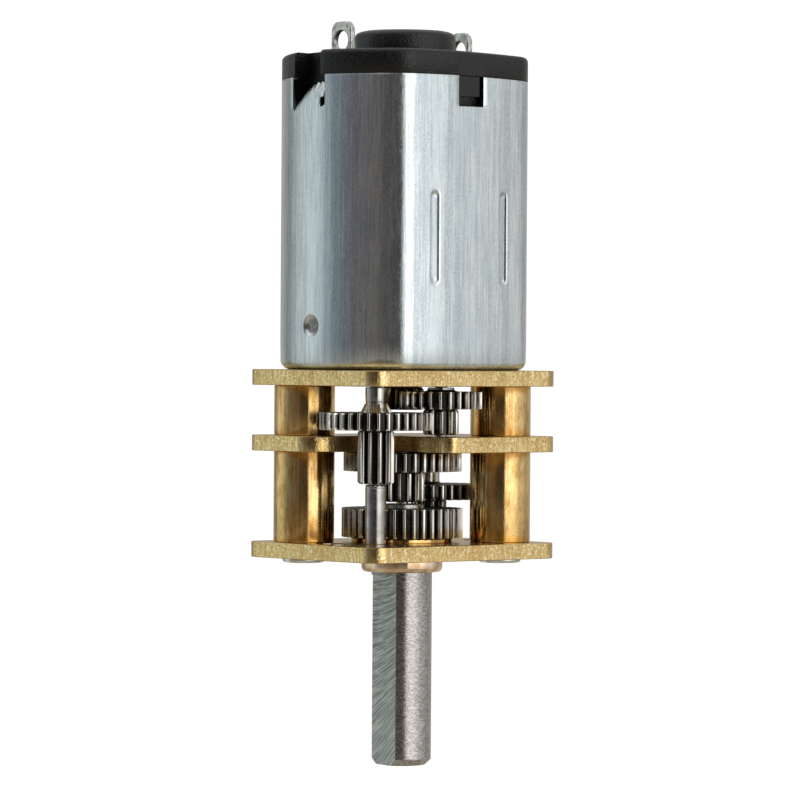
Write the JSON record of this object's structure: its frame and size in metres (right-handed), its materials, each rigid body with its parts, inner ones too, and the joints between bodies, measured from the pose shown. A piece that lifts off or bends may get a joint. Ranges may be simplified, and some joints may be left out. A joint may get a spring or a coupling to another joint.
{
  "type": "gearmotor",
  "caption": "Miniature brushed gearmotor: double-D steel can, open brass gearbox with spur gears between plates, and a D-cut output shaft.",
  "frame": {"origin": "where the output shaft's axis meets the outer face of the gearbox's front plate", "axes": "+Z along the output shaft's axis towards the motor, X along the gearbox's 12 mm side, Y along its 10 mm side"},
  "size_m": [0.0122, 0.01, 0.0365],
  "materials": {
    "brass_plate": "stamped, matte cut edges, bright faces",
    "brass_pillar": "turned and polished",
    "screw_steel": "nickel plated",
    "bushing_bronze": "sintered bronze, turned",
    "shaft_steel": "ground, with a milled flat",
    "gear_steel": "hobbed, lightly oiled",
    "pinion_brass": "hobbed",
    "can_steel": "zinc plated, drawn, satin",
    "cap_nylon": "moulded, fine grain",
    "terminal_tin": "tinned",
    "magnet_ferrite": "sintered, matte",
    "lamination_steel": "stamped stack",
    "winding_copper": "enamelled wire",
    "commutator_copper": "bare copper",
    "commutator_plastic": "moulded"
  },
  "bodies": {
    "housing": {"front_plate": "brass_plate", "middle_plate": "brass_plate", "rear_plate": "brass_plate", "lower_pillar_left": "brass_pillar", "upper_pillar_left": "brass_pillar", "frame_screw_left": "screw_steel", "lower_pillar_right": "brass_pillar", "upper_pillar_right": "brass_pillar", "frame_screw_right": "screw_steel", "output_bushing": "bushing_bronze", "thrust_washer": "brass_plate", "first_gear_arbor": "shaft_steel", "second_gear_spacer": "shaft_steel", "second_gear_arbor": "shaft_steel", "center_arbor": "shaft_steel", "fourth_gear_arbor": "shaft_steel", "motor_can": "can_steel", "end_cap": "cap_nylon", "front_bearing": "bushing_bronze", "rear_bearing": "bushing_bronze", "magnet_clip": "can_steel", "motor_screw_left": "screw_steel", "motor_screw_right": "screw_steel", "magnet_left": "magnet_ferrite", "magnet_right": "magnet_ferrite", "brush_left": "commutator_copper", "brush_right": "commutator_copper", "terminal_left": "terminal_tin", "terminal_right": "terminal_tin"},
    "rotor": {"motor_shaft": "shaft_steel", "motor_pinion": "pinion_brass", "armature_stack": "lamination_steel", "commutator_core": "commutator_plastic", "coil_a": "winding_copper", "coil_b": "winding_copper", "coil_c": "winding_copper", "commutator_segment_a": "commutator_copper", "commutator_segment_b": "commutator_copper", "commutator_segment_c": "commutator_copper"},
    "first_gear": {"first_gear_wheel": "gear_steel", "first_gear_pinion": "gear_steel"},
    "second_gear": {"second_gear_wheel": "gear_steel", "second_gear_pinion": "gear_steel"},
    "third_gear": {"third_gear_wheel": "gear_steel", "third_gear_pinion": "gear_steel"},
    "fourth_gear": {"fourth_gear_wheel": "gear_steel", "fourth_gear_pinion": "gear_steel"},
    "output": {"output_shaft": "shaft_steel", "output_gear": "gear_steel"}
  },
  "joints": [
    {"name": "rotor_spin", "type": "hinge", "parent": "housing", "child": "rotor", "pos_m": [0, 0, 0.016], "axis": [0, 0, 1], "continuous": true},
    {"name": "first_gear_spin", "type": "hinge", "parent": "housing", "child": "first_gear", "pos_m": [0.00008, -0.00279, 0.0074], "axis": [0, 0, 1], "continuous": true},
    {"name": "second_gear_spin", "type": "hinge", "parent": "housing", "child": "second_gear", "pos_m": [-0.00313, -0.00167, 0.0056], "axis": [0, 0, 1], "continuous": true},
    {"name": "third_gear_spin", "type": "hinge", "parent": "housing", "child": "third_gear", "pos_m": [0, 0, 0.004], "axis": [0, 0, 1], "continuous": true},
    {"name": "fourth_gear_spin", "type": "hinge", "parent": "housing", "child": "fourth_gear", "pos_m": [0.00319, 0.00171, 0.0023], "axis": [0, 0, 1], "continuous": true},
    {"name": "output_spin", "type": "hinge", "parent": "housing", "child": "output", "pos_m": [0, 0, -0.004], "axis": [0, 0, 1], "continuous": true}
  ],
  "couplings": [
    {"joint": "first_gear_spin", "follows": "rotor_spin", "ratio": -0.48},
    {"joint": "second_gear_spin", "follows": "rotor_spin", "ratio": 0.13714},
    {"joint": "third_gear_spin", "follows": "rotor_spin", "ratio": -0.037066},
    {"joint": "fourth_gear_spin", "follows": "rotor_spin", "ratio": 0.013767},
    {"joint": "output_spin", "follows": "rotor_spin", "ratio": -0.003623}
  ]
}
